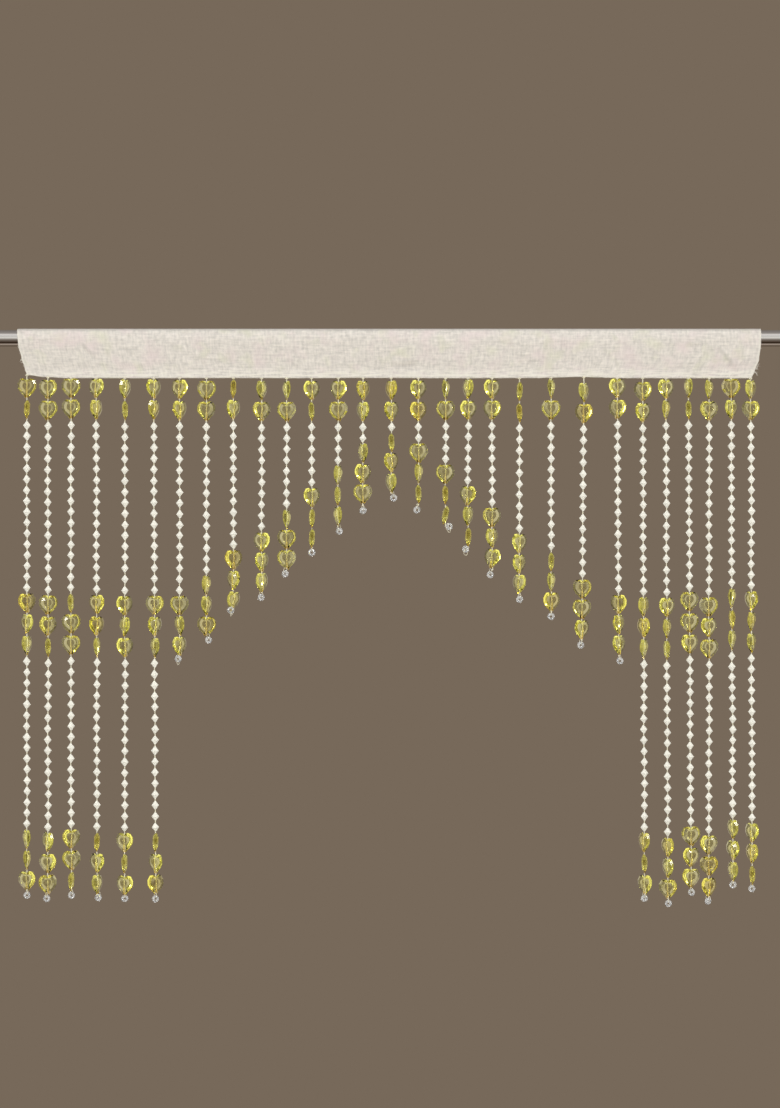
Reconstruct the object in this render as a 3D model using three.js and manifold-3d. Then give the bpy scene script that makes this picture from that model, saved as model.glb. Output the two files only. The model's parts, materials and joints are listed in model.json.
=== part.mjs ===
// A bead string curtain: a cloth heading folded over a round rod, and 29 bead strings that hang
// from its hem in an arch. Millimetres, +Z up, X along the rod, the room on the -Y side. The
// origin is on the rod's axis, midway between its ends.
import * as THREE from "three";
import { mergeVertices } from "three/addons/utils/BufferGeometryUtils.js";
import Module from "manifold-3d";

const wasm = await Module();
wasm.setup();

const ROD = { radius: 10, length: 960, chamfer: 0.8, sides: 24 };

// The heading is one strip folded over the rod, its two layers drawn together at the hem band.
const CLOTH = {
  thickness: 1.2,
  ease: 0.6, // between the rod and the inside of the fold
  halfLength: 445.5,
  hemBand: -39, // the height at which the two layers come together
  hem: -47.6, // the height of the bottom edge
  slot: 2.2, // between the layers in the hem band
  wallParts: 2, // straight parts of each layer from the fold to the hem band
  foldParts: 4, // straight parts of each quarter turn or so of the fold
  lengthParts: 36,
};

// The half length of the heading at a few heights, on each side: its ends slant in to the hem.
const ENDS = [
  { z: -48, left: 434.6, right: 434.9 },
  { z: -38, left: 437.0, right: 439.0 },
  { z: -25, left: 440.5, right: 443.5 },
  { z: -8, left: 444.0, right: 445.2 },
  { z: 12, left: 445.5, right: 445.5 },
];

// How the hem waves: drop lowers the edge, and sway moves it along Y.
const HEM_WAVES = [
  { x: -436, drop: -3.6, sway: -0.3 },
  { x: -412, drop: -1.0, sway: 0.5 },
  { x: -386, drop: 0.2, sway: 0.2 },
  { x: -300, drop: 0.4, sway: -1.1 },
  { x: -214, drop: 0.1, sway: 0.7 },
  { x: -120, drop: 0.3, sway: -0.5 },
  { x: -20, drop: 0.0, sway: 1.0 },
  { x: 84, drop: 0.4, sway: -0.9 },
  { x: 176, drop: 0.1, sway: 0.5 },
  { x: 229, drop: -1.1, sway: -0.3 },
  { x: 282, drop: 0.3, sway: -1.2 },
  { x: 366, drop: 0.4, sway: 0.8 },
  { x: 440, drop: 0.5, sway: -0.7 },
];

// The strings' sewn ends run along the inside of the hem as the comb's spine, and stand a little
// way up into the sleeve above it.
const SPINE = { thickness: 1.2, top: -33.5, bottom: -44.5, endInset: 1 };

const THREAD = { radius: 0.6, top: -41 };
const HEART = { reach: 11.5, height: 21.6, shoulder: 4.5, pitch: 25.3, archPitch: 24.5 };
const IVORY_RADIUS = 4.5;
const END_BEAD_RADIUS = 4.5;
const TOOTH_SIDES = 6;

const FIRST_HEART = -60; // the height of the middle of a string's top heart, before its drop
const TOP_HEARTS = 2;
const LOWER_HEARTS = 3;
const HEART_TO_IVORY = 20; // from a heart's middle down to the next ivory bead's
const IVORY_TO_HEART = 17.5;
const MOST_IVORY = 16; // in one run
const ARCH_STRINGS = 8; // on each side of the middle string; the strings past them go on down

// Where each string leaves the hem, how much lower than the rest it hangs, the pitch of its ivory
// beads, the tail of thread from its last heart's middle to its end bead's, and how far its foot
// has drifted sideways.
const STRINGS = [
  { x: -434.5, drop: -1, pitch: 13, tail: 17.5, drift: 0 },
  { x: -409.3, drop: 0, pitch: 13.1, tail: 17.5, drift: 0 },
  { x: -381.6, drop: -1, pitch: 13, tail: 17.5, drift: 0 },
  { x: -351.4, drop: -0.6, pitch: 13.1, tail: 17.5, drift: 1.2 },
  { x: -316.9, drop: 0.5, pitch: 13.1, tail: 17.5, drift: 0 },
  { x: -282.4, drop: 0.1, pitch: 13.1, tail: 17.5, drift: 2.4 },
  { x: -251.3, drop: 0.6, pitch: 13.1, tail: 15.4, drift: 0 },
  { x: -219.1, drop: 1.2, pitch: 13.2, tail: 17.2, drift: 0 },
  { x: -186.6, drop: -0.6, pitch: 13, tail: 11.9, drift: 0 },
  { x: -152.9, drop: 1.8, pitch: 13.2, tail: 18.5, drift: 0 },
  { x: -122.8, drop: 1.6, pitch: 13.1, tail: 17.4, drift: 0 },
  { x: -92.9, drop: 1.4, pitch: 13.2, tail: 17.8, drift: 0 },
  { x: -60.8, drop: 1.4, pitch: 13.2, tail: 18.5, drift: 0 },
  { x: -31.2, drop: 1.7, pitch: 12.8, tail: 20.4, drift: 0 },
  { x: 2.6, drop: 1.3, pitch: 13.1, tail: 18.4, drift: 0 },
  { x: 35.3, drop: 1.1, pitch: 13, tail: 19.9, drift: 0 },
  { x: 68, drop: 0.5, pitch: 13, tail: 14.4, drift: 0 },
  { x: 94.9, drop: 0.2, pitch: 13, tail: 16, drift: 0 },
  { x: 123.6, drop: 0.2, pitch: 13, tail: 20.6, drift: 0 },
  { x: 156.6, drop: 2.9, pitch: 13.3, tail: 18.7, drift: 0 },
  { x: 194.6, drop: -0.2, pitch: 13.1, tail: 18, drift: 0 },
  { x: 233.8, drop: 4.1, pitch: 13.3, tail: 19.3, drift: -2.4 },
  { x: 273.8, drop: -1, pitch: 13.1, tail: 19.8, drift: 2 },
  { x: 304.4, drop: 3.1, pitch: 13, tail: 17.5, drift: 2.4 },
  { x: 332.3, drop: -0.1, pitch: 13.3, tail: 17.5, drift: 2.4 },
  { x: 359.3, drop: -1, pitch: 12.9, tail: 17.5, drift: 3.2 },
  { x: 384.1, drop: 0.5, pitch: 13.2, tail: 17.5, drift: 0 },
  { x: 410.4, drop: -1, pitch: 12.6, tail: 17.5, drift: 2.4 },
  { x: 433.8, drop: 0.5, pitch: 12.7, tail: 17.5, drift: 2.4 },
];

// A smooth value between the rows of a table, read by one column and looked up by another.
function between(rows, key, at, column) {
  const next = rows.findIndex((row) => row[key] >= at);
  if (next <= 0) return rows[next < 0 ? rows.length - 1 : 0][column];
  const [low, high] = [rows[next - 1], rows[next]];
  const share = (at - low[key]) / (high[key] - low[key]);
  return THREE.MathUtils.lerp(low[column], high[column], share * share * (3 - 2 * share));
}

// How much of the hem's wave a height takes: none at the rod, and all of it at the hem.
function hungShare(z) {
  return THREE.MathUtils.clamp(z / CLOTH.hem, 0, 1);
}

function swayAt(x, z) {
  return between(HEM_WAVES, "x", x, "sway") * hungShare(z);
}

// Hangs a point of the straight heading: its ends slant, and its hem waves.
function hang(x, y, z) {
  const reach = between(ENDS, "z", z, x < 0 ? "left" : "right");
  const hungX = (x / CLOTH.halfLength) * reach;
  const drop = between(HEM_WAVES, "x", hungX, "drop") * hungShare(z) ** 2;
  return [hungX, y + swayAt(hungX, z), z - drop];
}

function eachPoint(geometry, place) {
  const points = geometry.attributes.position;
  for (let i = 0; i < points.count; i += 1) {
    points.setXYZ(i, ...place(points.getX(i), points.getY(i), points.getZ(i)));
  }
  return geometry;
}

// Extrudes a section drawn in Y and Z along X, and hangs it as the heading hangs.
function hungStrip(section, halfLength) {
  const strip = new THREE.ExtrudeGeometry(section, {
    depth: 2 * halfLength,
    steps: CLOTH.lengthParts,
    curveSegments: CLOTH.foldParts,
    bevelEnabled: false,
  });
  strip.translate(0, 0, -halfLength);
  return eachPoint(strip, (across, up, along) => hang(along, across, up));
}

// The angle on a circle around the rod where the layer that comes up from the hem band meets it.
function meetingAngle(half, radius) {
  const toBand = Math.atan2(CLOTH.hemBand, half);
  return toBand + Math.acos(radius / Math.hypot(half, CLOTH.hemBand));
}

// Adds one face of the folded strip to a path, from the hem on side -1 or 1 over the rod to the other.
function foldedFace(path, half, radius, side) {
  const angle = meetingAngle(half, radius);
  const [meetY, meetZ] = [Math.cos(angle) * radius, Math.sin(angle) * radius];
  const wall = [];
  for (let part = 0; part < CLOTH.wallParts; part += 1) {
    const share = part / CLOTH.wallParts;
    wall.push([
      THREE.MathUtils.lerp(half, meetY, share),
      THREE.MathUtils.lerp(CLOTH.hemBand, meetZ, share),
    ]);
  }
  path.lineTo(side * half, CLOTH.hem);
  wall.forEach(([y, z]) => path.lineTo(side * y, z));
  const [from, to] = side < 0 ? [Math.PI - angle, angle] : [angle, Math.PI - angle];
  path.absarc(0, 0, radius, from, to, side < 0);
  wall.reverse().forEach(([y, z]) => path.lineTo(-side * y, z));
  path.lineTo(-side * half, CLOTH.hem);
}

function headingGeometry() {
  const inner = CLOTH.slot / 2;
  const outer = inner + CLOTH.thickness;
  const fold = ROD.radius + CLOTH.ease;
  const section = new THREE.Shape();
  section.moveTo(-outer, CLOTH.hem);
  foldedFace(section, outer, fold + CLOTH.thickness, -1);
  foldedFace(section, inner, fold, 1);
  return hungStrip(section, CLOTH.halfLength);
}

function rodGeometry() {
  const [half, radius] = [ROD.length / 2, ROD.radius];
  const profile = [
    [0, -half],
    [radius - ROD.chamfer, -half],
    [radius, -half + ROD.chamfer],
    [radius, half - ROD.chamfer],
    [radius - ROD.chamfer, half],
    [0, half],
  ].map(([r, along]) => new THREE.Vector2(r, along));
  return new THREE.LatheGeometry(profile, ROD.sides).rotateZ(-Math.PI / 2);
}

function spineGeometry() {
  const half = SPINE.thickness / 2;
  const section = new THREE.Shape([
    new THREE.Vector2(-half, SPINE.bottom),
    new THREE.Vector2(half, SPINE.bottom),
    new THREE.Vector2(half, SPINE.top),
    new THREE.Vector2(-half, SPINE.top),
  ]);
  return hungStrip(section, CLOTH.halfLength - SPINE.endInset);
}

// Works down one string and returns its outline as rows of radius and height, from its foot up.
function stringOutline({ drop, pitch, tail }, placeFromMiddle) {
  const outline = [
    [0, THREAD.top],
    [THREAD.radius, THREAD.top],
  ];
  const addHearts = (first, count, heartPitch) => {
    outline.push([THREAD.radius, first + HEART.height / 2]);
    for (let i = 0; i < count; i += 1) {
      const middle = first - i * heartPitch;
      outline.push([HEART.reach, middle + HEART.shoulder]);
      outline.push([THREAD.radius, middle - heartPitch / 2]);
    }
    return first - (count - 1) * heartPitch;
  };
  const addIvory = (first, count) => {
    const last = first - (count - 1) * pitch;
    outline.push([IVORY_RADIUS, first + IVORY_RADIUS / 2]);
    outline.push([IVORY_RADIUS, last - IVORY_RADIUS / 2]);
    return last;
  };
  const ivoryCount = THREE.MathUtils.clamp(2 * placeFromMiddle, 1, MOST_IVORY);
  const isLong = placeFromMiddle > ARCH_STRINGS;
  const lowerPitch = isLong ? HEART.pitch : HEART.archPitch;
  let lastHeart = addHearts(FIRST_HEART - drop, TOP_HEARTS, HEART.pitch);
  for (let run = 0; run < (isLong ? 2 : 1); run += 1) {
    const lastIvory = addIvory(lastHeart - HEART_TO_IVORY, ivoryCount);
    lastHeart = addHearts(lastIvory - IVORY_TO_HEART, LOWER_HEARTS, lowerPitch);
  }
  const endBead = lastHeart - tail;
  outline.push([END_BEAD_RADIUS, endBead]);
  outline.push([0, endBead - END_BEAD_RADIUS]);
  return outline.reverse();
}

function toothGeometry(string, index) {
  const middle = (STRINGS.length - 1) / 2;
  const outline = stringOutline(string, Math.abs(index - middle));
  const profile = outline.map(([radius, height]) => new THREE.Vector2(radius, height));
  const tooth = new THREE.LatheGeometry(profile, TOOTH_SIDES).rotateX(Math.PI / 2);
  const foot = outline[0][1];
  return eachPoint(tooth, (across, deep, up) => {
    const down = (up - THREAD.top) / (foot - THREAD.top);
    return [string.x + across + string.drift * down, swayAt(string.x, up) + deep, up];
  });
}

function toSolid(geometry) {
  const bare = geometry.clone();
  bare.deleteAttribute("normal");
  bare.deleteAttribute("uv");
  const merged = mergeVertices(bare);
  return new wasm.Manifold(
    new wasm.Mesh({
      numProp: 3,
      vertProperties: new Float32Array(merged.attributes.position.array),
      triVerts: new Uint32Array(merged.index.array),
    }),
  );
}

function toGeometry(solid) {
  const { numProp, vertProperties, triVerts } = solid.getMesh();
  const geometry = new THREE.BufferGeometry();
  geometry.setAttribute("position", new THREE.BufferAttribute(vertProperties, numProp));
  geometry.setIndex(new THREE.BufferAttribute(triVerts, 1));
  geometry.computeVertexNormals();
  return geometry;
}

function combGeometry() {
  const teeth = STRINGS.map((string, index) => toSolid(toothGeometry(string, index)));
  return toGeometry(teeth.reduce((comb, tooth) => comb.add(tooth), toSolid(spineGeometry())));
}

function piece(name, geometry, color, roughness, metalness) {
  const mesh = new THREE.Mesh(
    geometry,
    new THREE.MeshStandardMaterial({ color, roughness, metalness }),
  );
  mesh.name = name;
  return mesh;
}

const curtain = new THREE.Group();
curtain.add(piece("rod", rodGeometry(), 0xb4b6b9, 0.15, 1));
curtain.add(piece("heading", headingGeometry(), 0xe1d9d0, 0.95, 0));
curtain.add(piece("string_comb", combGeometry(), 0xd9d46a, 0.3, 0));

export default curtain;
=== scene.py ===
"""The looks of an arched bead curtain: a cloth heading over a round metal rod, and 29 threads of
clear yellow hearts and ivory beads that hang from its hem.

+X runs to the right, +Y to the wall or doorway behind and +Z up. The origin is on the rod's axis,
midway between its ends. Everything is in metres, and the tables are typed in millimetres.
"""

import json
import math
import random
from collections import namedtuple

import bmesh
import bpy
from bpy.props import FloatProperty, FloatVectorProperty, IntProperty, PointerProperty
from mathutils import Matrix, Vector, noise

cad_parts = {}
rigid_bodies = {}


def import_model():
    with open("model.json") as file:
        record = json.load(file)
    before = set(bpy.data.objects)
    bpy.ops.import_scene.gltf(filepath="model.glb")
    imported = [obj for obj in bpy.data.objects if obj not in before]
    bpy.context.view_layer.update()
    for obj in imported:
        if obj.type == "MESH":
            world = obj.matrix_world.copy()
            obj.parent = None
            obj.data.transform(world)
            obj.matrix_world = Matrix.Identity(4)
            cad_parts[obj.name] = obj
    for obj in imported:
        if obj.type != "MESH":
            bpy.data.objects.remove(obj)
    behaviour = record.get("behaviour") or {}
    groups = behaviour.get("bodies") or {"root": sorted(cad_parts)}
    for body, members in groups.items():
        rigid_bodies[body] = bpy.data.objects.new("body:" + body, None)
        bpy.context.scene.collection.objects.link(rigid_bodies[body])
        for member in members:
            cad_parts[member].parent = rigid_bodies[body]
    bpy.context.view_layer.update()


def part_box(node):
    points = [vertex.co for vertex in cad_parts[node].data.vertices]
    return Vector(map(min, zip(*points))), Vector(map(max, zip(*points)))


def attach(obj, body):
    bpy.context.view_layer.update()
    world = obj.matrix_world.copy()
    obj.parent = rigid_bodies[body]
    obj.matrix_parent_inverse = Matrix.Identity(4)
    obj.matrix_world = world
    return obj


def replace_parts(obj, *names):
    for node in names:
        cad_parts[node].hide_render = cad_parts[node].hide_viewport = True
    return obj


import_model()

bl_info = {
    "name": "Bead Curtain",
    "version": (1, 0, 0),
    "blender": (4, 5, 0),
    "location": "3D View > Sidebar > Curtain",
    "description": "Makes an arched bead curtain with its cloth heading and rod",
    "category": "Object",
}

MM = 0.001
BODY = "root"


def table(columns, rows, others=()):
    """Rows with named columns, typed in millimetres except for the others."""
    kind = namedtuple("Row", columns)
    return [
        kind(*(value if name in others else value * MM for name, value in zip(kind._fields, row)))
        for row in rows
    ]


# The rod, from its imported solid.
ROD_LOW, ROD_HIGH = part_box("rod")
ROD_RADIUS = (ROD_HIGH.z - ROD_LOW.z) / 2

# The heading: one strip folded over the rod, its two layers drawn together at the hem band.
HALF_LENGTH = 445.5 * MM
FOLD_EASE = 1.2 * MM  # from the rod to the middle of the cloth round it
HEM_BAND = -38 * MM  # the height at which the two layers come together
HEM = -47.6 * MM
BAND_GAP = 0.34 * MM  # from the middle plane to the middle of each layer in the hem band

# The half length of the heading at a few heights: its ends slant in to the hem.
ENDS = table("z left right", (
    (-48, 434.6, 434.9),
    (-38, 437.0, 439.0),
    (-25, 440.5, 443.5),
    (-8, 444.0, 445.2),
    (12, 445.5, 445.5),
))

# How the hem waves: drop lowers the edge, and sway moves it along Y.
HEM_WAVES = table("x drop sway", (
    (-436, -3.6, -0.3),
    (-412, -1.0, 0.5),
    (-386, 0.2, 0.2),
    (-300, 0.4, -1.1),
    (-214, 0.1, 0.7),
    (-120, 0.3, -0.5),
    (-20, 0.0, 1.0),
    (84, 0.4, -0.9),
    (176, 0.1, 0.5),
    (229, -1.1, -0.3),
    (282, 0.3, -1.2),
    (366, 0.4, 0.8),
    (440, 0.5, -0.7),
))

# Soft creases in the front of the heading: the middle, the length, the width across, how far the
# line leans from level in degrees, and how far the cloth stands out along it, or in if below 0.
CREASES = table("x z length width lean height", (
    (-364, -12, 17, 2.3, -49, 1.3),
    (-391, -21, 26, 4.0, 62, -0.5),
    (-352, -27, 18, 3.2, -25, -0.4),
    (-236, -18, 44, 5.0, -20, 0.5),
    (-142, -24, 36, 4.5, 28, -0.5),
    (-26, 9.6, 17, 1.6, -3, -1.2),
    (18, -33, 32, 3.4, 3, -1.9),
    (96, -16, 40, 5.0, 35, 0.5),
    (214, -26, 46, 4.5, -14, -0.5),
    (300, -14, 34, 4.0, 24, 0.4),
    (365, -10.5, 18, 2.2, 2, -0.9),
    (406, -22, 34, 2.3, -45, 1.5),
    (424, -30, 20, 3.2, -64, -0.6),
), others=("lean",))

# The strings, from the left. x is where each leaves the hem, drop how much lower than the rest it
# hangs, pitch that of its ivory beads, tail the thread from its last heart to its end bead, and
# drift how far its foot has moved sideways. top and lower are how far each heart is turned from
# face on, and bead is the end bead's shift sideways, its turn and its lean. Angles are in degrees.
STRINGS = table("x drop pitch tail drift top lower bead", (
    (-434.5, -1, 13, 17.5, 0, (4, -82), (28, -43, 63), (0.5, 20, 10)),
    (-409.3, 0, 13.1, 17.5, 0, (-8, 3), (2, 28, -87), (-0.8, -15, 5)),
    (-381.6, -1, 13, 17.5, 0, (3, -4), (87, 2, -4), (0.6, 30, -12)),
    (-351.4, -0.6, 13.1, 17.5, 1.2, (-32, 55), (-31, 43, 82), (1.0, -35, 0)),
    (-316.9, 0.5, 13.1, 17.5, 0, (57, -82), (34, -51, 31), (-0.5, 10, 15)),
    (-282.4, 0.1, 13.1, 17.5, 2.4, (44, 57), (-11, 46, -56), (0.2, 28, 0)),
    (-251.3, 0.6, 13.1, 15.4, 0, (-27, 47), (11, -54, 46), (-1.4, -20, 12)),
    (-219.1, 1.2, 13.2, 17.2, 0, (2, 16), (64, 58, -3), (2.5, 25, -8)),
    (-186.6, -0.6, 13, 11.9, 0, (-88, 47), (24, -44, 51), (-2.6, 0, 5)),
    (-152.9, 1.8, 13.2, 18.5, 0, (58, 19), (-29, 46, 52), (-0.7, 40, 10)),
    (-122.8, 1.6, 13.1, 17.4, 0, (-65, 4), (68, -5, 3), (-1.8, -30, 0)),
    (-92.9, 1.4, 13.2, 17.8, 0, (31, 90), (31, -84, 89), (-0.3, 5, 4)),
    (-60.8, 1.4, 13.2, 18.5, 0, (-28, 2), (63, 82, -63), (1.6, -28, 18)),
    (-31.2, 1.7, 12.8, 20.4, 0, (46, -47), (-57, 29, 4), (-0.1, 25, 30)),
    (2.6, 1.3, 13.1, 18.4, 0, (-51, 40), (90, 40, -54), (2.9, -8, 5)),
    (35.3, 1.1, 13, 19.9, 0, (31, 25), (3, 63, 89), (-1.5, 12, 10)),
    (68, 0.5, 13, 14.4, 0, (68, 5), (8, -87, 87), (4.1, 24, 0)),
    (94.9, 0.2, 13, 16, 0, (-56, 27), (-32, 54, 90), (-3.1, -42, 8)),
    (123.6, 0.2, 13, 20.6, 0, (28, -20), (10, 47, -34), (-2.4, 16, -10)),
    (156.6, 2.9, 13.3, 18.7, 0, (-87, 86), (37, 43, -47), (0.2, 26, 24)),
    (194.6, -0.2, 13.1, 18, 0, (68, -3), (-89, 63, 24), (-0.6, -6, 6)),
    (233.8, 4.1, 13.3, 19.3, -2.4, (52, -23), (-13, 4, 37), (-1.1, 22, 0)),
    (273.8, -1, 13.1, 19.8, 2, (23, -25), (-34, 47, 44), (1.4, -18, 12)),
    (304.4, 3.1, 13, 17.5, 2.4, (-23, 34), (50, -52, 60), (-0.6, 33, -6)),
    (332.3, -0.1, 13.3, 17.5, 2.4, (28, 61), (30, 60, -82), (0.4, 0, 14)),
    (359.3, -1, 12.9, 17.5, 3.2, (-68, 87), (4, -3, 19), (1.2, -26, 0)),
    (384.1, 0.5, 13.2, 17.5, 0, (59, 10), (-10, 28, 5), (-0.9, 42, 8)),
    (410.4, -1, 12.6, 17.5, 2.4, (-8, 43), (63, -84, 61), (0.3, -12, -9)),
    (433.8, 0.5, 12.7, 17.5, 2.4, (47, -25), (-51, 58, 54), (-0.4, 18, 3)),
), others=("top", "lower", "bead"))
MIDDLE_STRING = (len(STRINGS) - 1) // 2
ARCH_STRINGS = 8  # on each side of the middle string; the strings past them go on down
MOST_IVORY = 16  # in one run

FIRST_HEART = -60 * MM  # the height of the middle of a string's top heart, before its drop
HEART_PITCH = 25.3 * MM
ARCH_HEART_PITCH = 24.5 * MM
HEART_TO_IVORY = 20 * MM
IVORY_TO_HEART = 17.5 * MM
THREAD_TOP = -43 * MM  # its sewn end, inside the hem band
THREAD_POINTS = 20
THREAD_BEND = 0.9 * MM  # how far a thread wanders from straight
THREAD_BENDS = 14  # in a metre
THREAD_APART = 3.7  # keeps one thread's bends unlike the next one's
TAUT_TOP = 6  # a thread's bends grow over the first of this many parts of it
LOOP_SHARE = 0.5  # how thick a thread is where it loops through its end bead
LOOP_RADIUS = 3.3 * MM
LOOP_RISE = 4.1 * MM  # from the end bead's middle up to the middle of the loop
LOOP_ANGLES = (0, -45, -90, -135, -180, -225, -270, -300)  # from the thread, down and round
LOOP_UNDER_ANGLES = (-60, -90, -135, -180, -225, -270)  # for a bead in front of a heart's tip
LOOP_END_ACROSS, LOOP_END_UP = -0.3 * MM, 0.1 * MM  # where a loop ends, in its knot
KNOT_OVER_BEAD = 1.5 * MM
KNOT_UNDER_TIP = 0.5 * MM  # for a bead in front of a heart's tip
# A knot: its radius in widths of its thread, its lumps, how high they are and how far they twist,
# and its height as a share of its width.
KNOT_RADIUS, KNOT_LUMPS, KNOT_LUMP, KNOT_TWIST, KNOT_FLAT = 0.95, 3, 0.14, 4, 0.8
HEM_KNOT_RISE = -0.2 * MM  # above the hem's edge
HEM_KNOT_SHAPE = (1.8, 1.6, 1.1, 1)  # a hem knot beside the plain knot at a string's foot

# How far a heart in a string's second run is turned: a start, and a share of the one above it.
SECOND_RUN_TURN, SECOND_RUN_SHARE = 20, -1.3
# Hearts that lean out of line, by string and heart, both counted from 0, in degrees.
LEANING_HEARTS = {(8, 4): 9, (16, 4): 11, (6, 3): -5, (18, 4): 6}
# End beads that hang in front of a heart's tip, by string, with how far in front.
FRONT_BEADS = {8: 5.5 * MM, 16: 4.5 * MM, 6: 4 * MM, 17: 4 * MM}

# Half the outline of a heart, from the notch round to the tip, as shares of half its width and
# height.
HEART_OUTLINE = (
    (0.07, 0.92), (0.34, 0.99), (0.71, 0.92), (0.97, 0.43),
    (0.95, -0.10), (0.68, -0.57), (0.28, -0.96), (0.10, -1.25),
)
# The cut steps from a heart's rim in to its flat face: how much each ring shrinks towards the
# heart's middle, and its share of half the heart's depth.
HEART_STEPS = ((0.71, 0.56), (0.56, 0.44))
HEART_MIDDLE = 2.2 * MM  # above the middle of its height
BORE = 0.75 * MM  # half the width of the square hole that the thread passes through
NOTCH_AND_TIP = 1.5 * MM  # half the width within which a heart's notch and tip lie
TOUCHING = 0.001 * MM  # points nearer than this meet
GOLDEN_FROM, GOLDEN_TO = -8 * MM, -12.5 * MM  # the heights at which a heart's tip turns golden
GOLDEN_MOST = 0.4  # the deepest that a whole heart is tinted
HEART_LEAN, HEART_SLIP = 2.5, 0.4 * MM  # how uneven hearts hang, in degrees and along the thread
IVORY_TILT, IVORY_SLIP = 5, 0.35 * MM  # the same for ivory beads
IVORY_SIZES = (0.96, 1.03)  # their smallest and largest, as shares of their size

# Round the section of an ivory bead and of an end bead, as shares of half its width and height.
IVORY_SECTION = (
    (0.19, 1.0), (0.60, 0.50), (1.0, 0.05),
    (1.0, -0.05), (0.60, -0.50), (0.19, -1.0),
)
END_BEAD_SECTION = (
    (0.36, 0.45), (0.60, 1.0), (0.86, 0.72), (1.0, 0.0),
    (0.86, -0.72), (0.60, -1.0), (0.36, -0.45),
)
IVORY_SIDES = 8
END_BEAD_SIDES = 10

HEADING_COLUMNS, HEADING_ROWS, FOLD_PARTS = 540, 66, 40
CLOTH_LEAVES_ROD = 4 * MM, -10 * MM  # the heights between which the cloth comes off the rod
CLOTH_DRAWN_IN = -28 * MM  # the height under which it runs in to the hem band
# How far the cloth stands out where it hangs free and at the hem band's seam, and how far from the
# seam its puckers reach.
BILLOW, SEAM_PUCKER, SEAM_REACH = 0.5 * MM, 0.3 * MM, 4 * MM
# How far the hem band bulges over a thread, how wide, and the height at which that starts.
BAND_BULGE, BULGE_WIDTH, BULGE_TOP = 0.55 * MM, 2.4 * MM, -36 * MM
# Ripples in the cloth: how many in a metre along and down, where they start, and how high they are.
WAVES = ((9, 20, 0, 0, 0.9 * MM), (34, 30, 9, 0, 0.45 * MM))
PUCKERS = ((70, 0, 0, 3, 0.5 * MM), (190, 0, 0, 7, 0.3 * MM))
ROD_EDGE = 0.8 * MM
STITCH_WIDTH = 0.42 * MM
STITCH_INSET = 9 * MM  # from the heading's top corners in to its first stitch
STITCH_SLIP = 0.2 * MM  # how unevenly the stitches lie along their row
STITCH_WANDER = 0.12 * MM  # and up or down from it
# The height of each row of stitches, and its side of the hem band.
STITCH_ROWS = [(height * MM, side) for side in (-1, 1) for height in (-39.2, -45.2)]
FIBRE_WIDTH = 0.22 * MM
# How far out a fibre comes, as a share of its fray's reach, and how far its end rises or falls, as
# a share of how far out it is.
FIBRE_OUT, FIBRE_FALL = (0.4, 1.0), (-1.2, 0.5)
# How many fibres, on which end, between which heights, and how far out they reach.
FRAYS = table("count side low high reach", (
    (26, 1, -41, -31, 4.5),
    (16, 1, -30, 8, 1.4),
    (12, -1, -36, -26, 3.0),
    (18, -1, -46, 8, 1.4),
), others=("count", "side"))

FLOOR_REACH = 6.0
# Soft lamps, each aimed at the middle of the curtain: brightness is that of its own face. A lamp with
# a glint lights nothing, and only shows in shiny surfaces.
Lamp = namedtuple("Lamp", "name place width height brightness glint")
LAMPS = (
    Lamp("front_low", (0, -4.37, 1.42), 3.2, 2.4, 3.8, False),
    Lamp("front_high", (0, -3.34, 3.17), 3.2, 1.7, 1.0, False),
    Lamp("left_side", (-2.6, 0.5, 0.2), 1.2, 2.6, 2.0, False),
    Lamp("right_side", (2.6, 0.5, 0.2), 1.2, 2.6, 2.0, False),
    Lamp("back", (0, 4.2, 1.6), 3.2, 2.4, 2.4, False),
    Lamp("glint_right", (2.2, -1.6, 1.9), 0.6, 0.6, 18.0, True),
    Lamp("glint_left", (-2.5, -2.0, 0.6), 0.4, 0.7, 14.0, True),
)
# The room that shiny surfaces show: its colour at angles turned about the rod, from 0 straight out
# in front, up over the top to 180 behind, and down under to -180 behind.
ROOM_ROUND_ROD = (
    (-180, 119, 105, 90),
    (-150, 104, 90, 76),
    (-116, 112, 97, 83),
    (-98, 176, 160, 146),
    (-86, 170, 154, 140),
    (-78, 58, 45, 34),
    (-54, 62, 48, 37),
    (-42, 108, 95, 84),
    (-26, 120, 110, 100),
    (-12, 164, 156, 147),
    (0, 224, 219, 211),
    (22, 236, 233, 226),
    (25, 176, 172, 166),
    (31, 176, 172, 166),
    (34, 238, 234, 230),
    (55, 226, 220, 214),
    (68, 164, 157, 151),
    (90, 142, 135, 130),
    (140, 124, 116, 108),
    (180, 119, 105, 90),
)
# The room that shows through clear plastic, from -1 straight out in front to 1 straight behind.
ROOM_THROUGH = (
    (-1, 300, 296, 288),
    (-0.5, 276, 271, 262),
    (0, 236, 229, 218),
    (0.42, 124, 114, 100),
    (0.56, 214, 205, 192),
    (0.72, 92, 82, 70),
    (0.83, 130, 120, 106),
    (0.90, 196, 186, 172),
    (0.95, 186, 176, 162),
    (0.985, 119, 105, 90),
    (1, 119, 105, 90),
)


def paint(red, green, blue):
    """A solid colour from its usual 0 to 255 values."""
    light = [
        value / 12.92 if value <= 0.04045 else ((value + 0.055) / 1.055) ** 2.4
        for value in (red / 255, green / 255, blue / 255)
    ]
    return (*light, 1.0)


def colour_property(name, description, red, green, blue):
    return FloatVectorProperty(
        name=name, description=description, default=paint(red, green, blue), min=0, max=1, size=4,
        subtype="COLOR"
    )


def length_property(name, description, default):
    return FloatProperty(
        name=name, description=description, default=default, min=0, unit="LENGTH", precision=5
    )


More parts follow.
